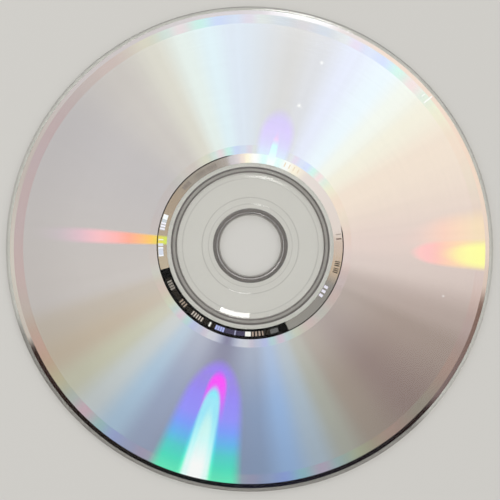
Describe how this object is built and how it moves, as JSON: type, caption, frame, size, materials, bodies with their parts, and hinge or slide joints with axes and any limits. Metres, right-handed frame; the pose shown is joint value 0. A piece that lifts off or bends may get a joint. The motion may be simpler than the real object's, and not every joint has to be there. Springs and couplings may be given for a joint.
{
  "type": "compact disc",
  "caption": "Round clear plastic disc with a centre hole, a reflective metal layer on its back and a coat that seals the metal, for data or sound read by light.",
  "frame": {"origin": "centre of the disc's coated label face, which lies on the surface it rests on", "axes": "+Z along the disc's axis, from the label side towards the read side; X and Y lie in the disc, +Y away from the viewer"},
  "size_m": [0.12, 0.12, 0.0014],
  "materials": {
    "clear_polycarbonate": "clear and polished",
    "aluminium_film": "mirror film over fine tracks that split light into colours",
    "clear_lacquer": "smooth and glossy over metal"
  },
  "bodies": {
    "root": {"substrate": "clear_polycarbonate", "reflective_layer": "aluminium_film", "lacquer_coat": "clear_lacquer"}
  },
  "joints": []
}
